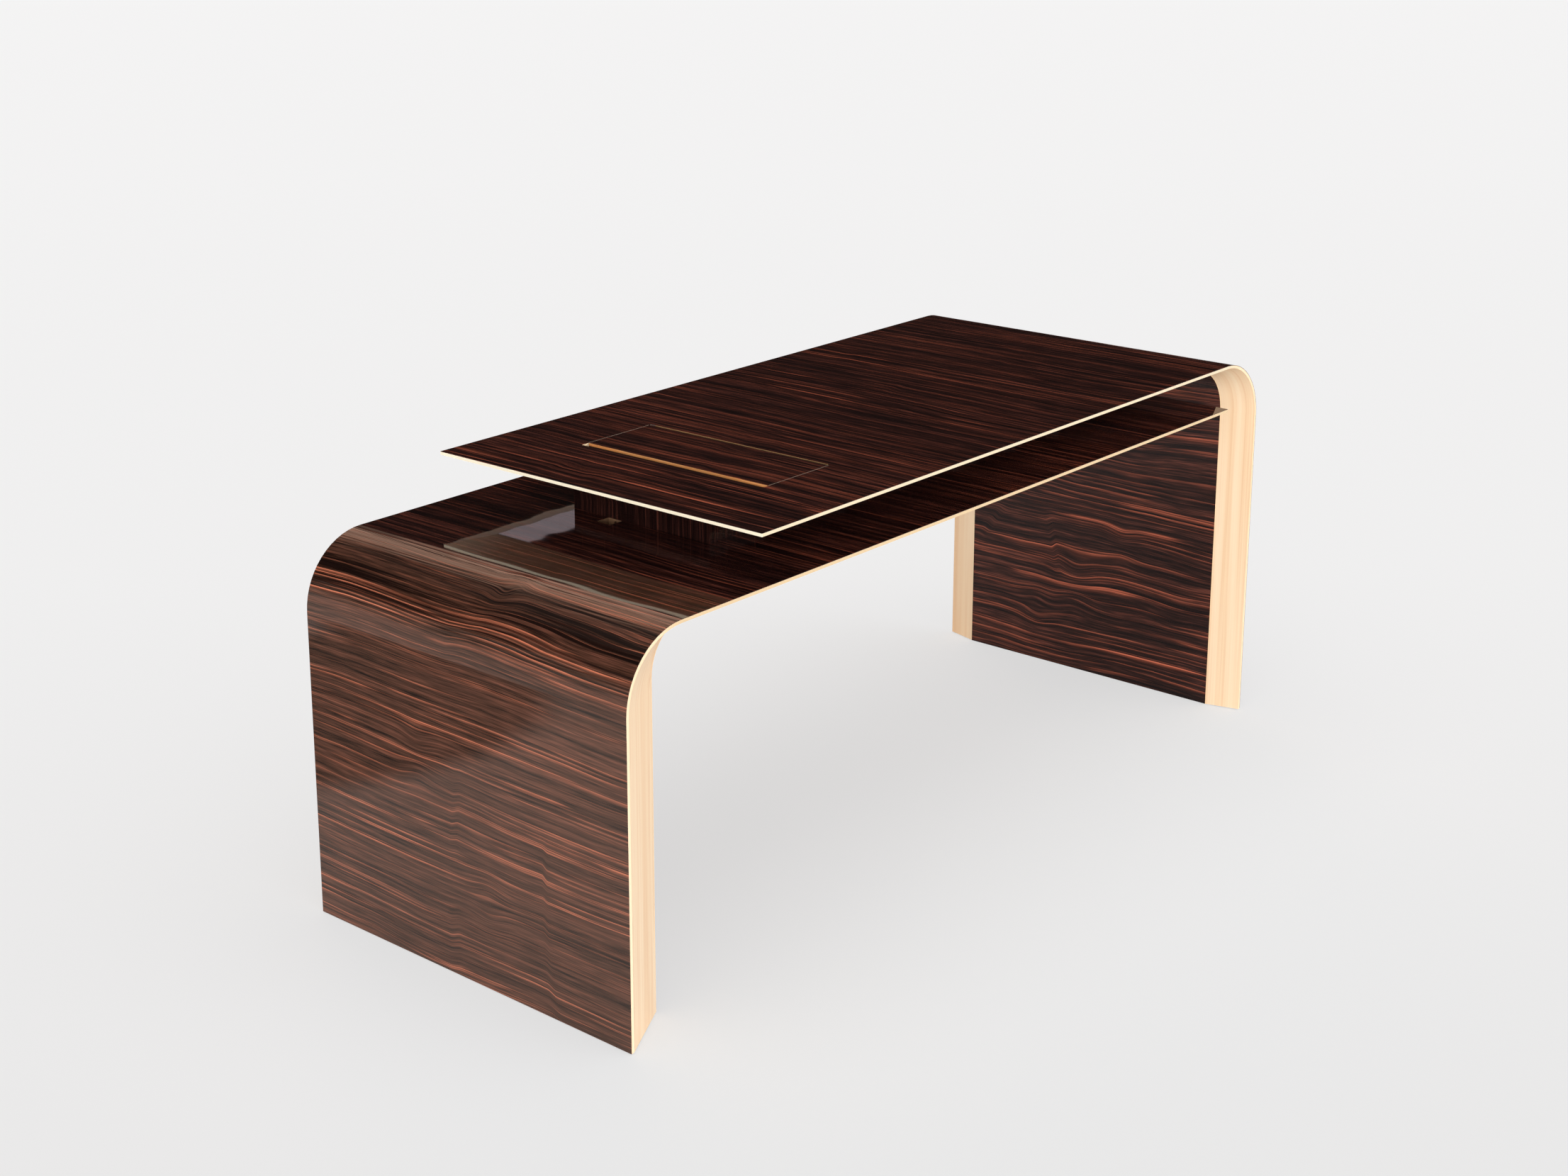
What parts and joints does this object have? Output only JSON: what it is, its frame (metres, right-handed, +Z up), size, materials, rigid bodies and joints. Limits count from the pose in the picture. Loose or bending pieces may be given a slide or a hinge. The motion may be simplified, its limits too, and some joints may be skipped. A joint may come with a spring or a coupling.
{
  "type": "writing desk",
  "caption": "Writing desk of bent veneered shells with pale bevelled edges: a top with its leg over a deck with its leg, joined by a low box, with a hinged flap over a cable tray.",
  "frame": {"origin": "on the floor under the middle of the desk", "axes": "+X along the desk to the leg under the top, +Y to the back edge, +Z up"},
  "size_m": [1.8, 0.706, 0.7375],
  "materials": {
    "dark_veneer": "high gloss lacquer",
    "pale_core": "satin lacquer",
    "light_core": "raw",
    "box_panel": "high gloss lacquer",
    "tongue_wood": "raw",
    "tray_black": "fine texture",
    "pad_felt": "felt",
    "hinge_brass": "satin",
    "fastener_steel": "zinc plated",
    "glide_plastic": "matte"
  },
  "bodies": {
    "desk": {"upper_core": "pale_core", "upper_outer_veneer": "dark_veneer", "upper_inner_veneer": "dark_veneer", "lower_core": "pale_core", "left_leg_front_rail": "pale_core", "left_leg_core": "light_core", "left_leg_back_rail": "pale_core", "lower_outer_veneer": "dark_veneer", "lower_inner_veneer": "dark_veneer", "box_front_panel": "box_panel", "box_back_panel": "box_panel", "box_left_panel": "box_panel", "box_right_panel": "box_panel", "box_tray_divider": "light_core", "box_middle_divider": "light_core", "box_top_tongues": "tongue_wood", "box_corner_tongues": "tongue_wood", "cable_tray": "tray_black", "cable_grommet": "tray_black", "flap_pads": "pad_felt", "hinge_top_leaf": "hinge_brass", "hinge_pin": "fastener_steel", "deck_screws": "fastener_steel", "right_leg_glides": "glide_plastic", "left_leg_glides": "glide_plastic"},
    "flap": {"flap_core": "pale_core", "flap_veneer": "dark_veneer", "hinge_flap_leaf": "hinge_brass"}
  },
  "joints": [
    {"name": "flap_hinge", "type": "hinge", "parent": "desk", "child": "flap", "pos_m": [-0.247, 0, 0.7363], "axis": [0, 1, 0], "range_deg": [0, 100]}
  ]
}
